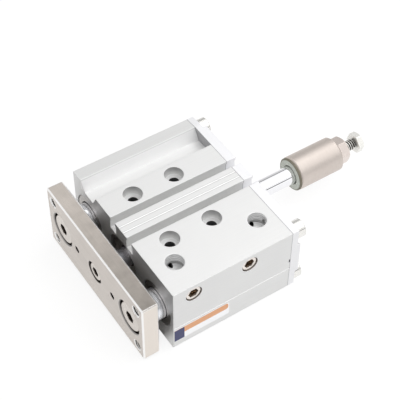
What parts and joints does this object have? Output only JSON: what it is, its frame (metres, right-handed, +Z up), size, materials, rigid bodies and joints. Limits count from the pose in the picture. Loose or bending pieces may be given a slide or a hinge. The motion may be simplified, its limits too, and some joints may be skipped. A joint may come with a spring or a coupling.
{
  "type": "guided pneumatic cylinder",
  "caption": "Flat pneumatic cylinder with two guide rods that carry a tool plate, and a stopper with a lock nut on its rear rod that sets the stroke.",
  "frame": {"origin": "centre of the four base mounting holes, on the bottom face of the body", "axes": "+X the way the tool plate travels, along the rods; +Y the side with the plugged ports; +Z up, out of the face with the sensor grooves"},
  "size_m": [0.1643, 0.093, 0.042],
  "materials": {
    "body_aluminium": "fine matt hard anodised extrusion",
    "plate_aluminium": "bright satin machined aluminium",
    "nickel_plate": "warm satin nickel on steel",
    "guide_steel": "ground and polished",
    "rod_chrome": "polished hard chrome",
    "screw_steel": "satin zinc",
    "stopper_steel": "warm satin nickel",
    "plug_steel": "brownish plated steel",
    "bush_bronze": "plain bearing bronze",
    "seal_rubber": "matt black rubber",
    "stopper_rubber": "matt grey-green rubber",
    "cover_alloy": "fine turned aluminium",
    "holder_steel": "satin steel",
    "felt": "oiled felt",
    "magnet": "bonded ferrite"
  },
  "bodies": {
    "housing": {"body_housing": "body_aluminium", "rear_plate": "plate_aluminium", "rear_plate_screws": "screw_steel", "rear_plate_o_ring": "seal_rubber", "rear_rod_seal": "seal_rubber", "rear_rod_bush": "bush_bronze", "rear_rod_wiper": "seal_rubber", "rod_cover": "cover_alloy", "rod_cover_o_ring": "seal_rubber", "rod_seal": "seal_rubber", "rod_bush": "bush_bronze", "retaining_ring": "screw_steel", "side_port_plugs": "plug_steel", "front_guide_bush_left": "bush_bronze", "rear_guide_bush_left": "bush_bronze", "front_guide_bush_right": "bush_bronze", "rear_guide_bush_right": "bush_bronze", "guide_holder_left": "holder_steel", "guide_holder_right": "holder_steel", "guide_felt_left": "felt", "guide_felt_right": "felt"},
    "carriage": {"tool_plate": "nickel_plate", "guide_rod_left": "guide_steel", "guide_rod_right": "guide_steel", "guide_rod_screws": "screw_steel", "piston_rod_screw": "screw_steel", "piston_rod": "rod_chrome", "piston": "cover_alloy", "piston_seal": "seal_rubber", "magnet_ring": "magnet", "front_bumper": "seal_rubber", "rear_bumper": "seal_rubber", "rear_rod": "rod_chrome"},
    "stopper": {"stopper_sleeve": "stopper_steel", "stopper_bumper": "stopper_rubber"},
    "lock_nut": {"lock_nut": "stopper_steel"},
    "adjusting_bolt": {"adjusting_bolt": "stopper_steel"}
  },
  "joints": [
    {"name": "plate_slide", "type": "slide", "parent": "housing", "child": "carriage", "axis": [1, 0, 0], "range_m": [0, 0.0287]},
    {"name": "stopper_slide", "type": "slide", "parent": "carriage", "child": "stopper", "axis": [-1, 0, 0], "range_m": [0, 0.006]},
    {"name": "bolt_turn", "type": "hinge", "parent": "carriage", "child": "adjusting_bolt", "pos_m": [-0.1153, 0, 0.0207], "axis": [1, 0, 0], "range_deg": [0, 2161]},
    {"name": "nut_turn", "type": "hinge", "parent": "stopper", "child": "lock_nut", "pos_m": [-0.105, 0, 0.0207], "axis": [1, 0, 0], "range_deg": [0, 90]}
  ],
  "couplings": [
    {"joint": "bolt_turn", "follows": "stopper_slide", "rad_per_m": 6283.2}
  ]
}
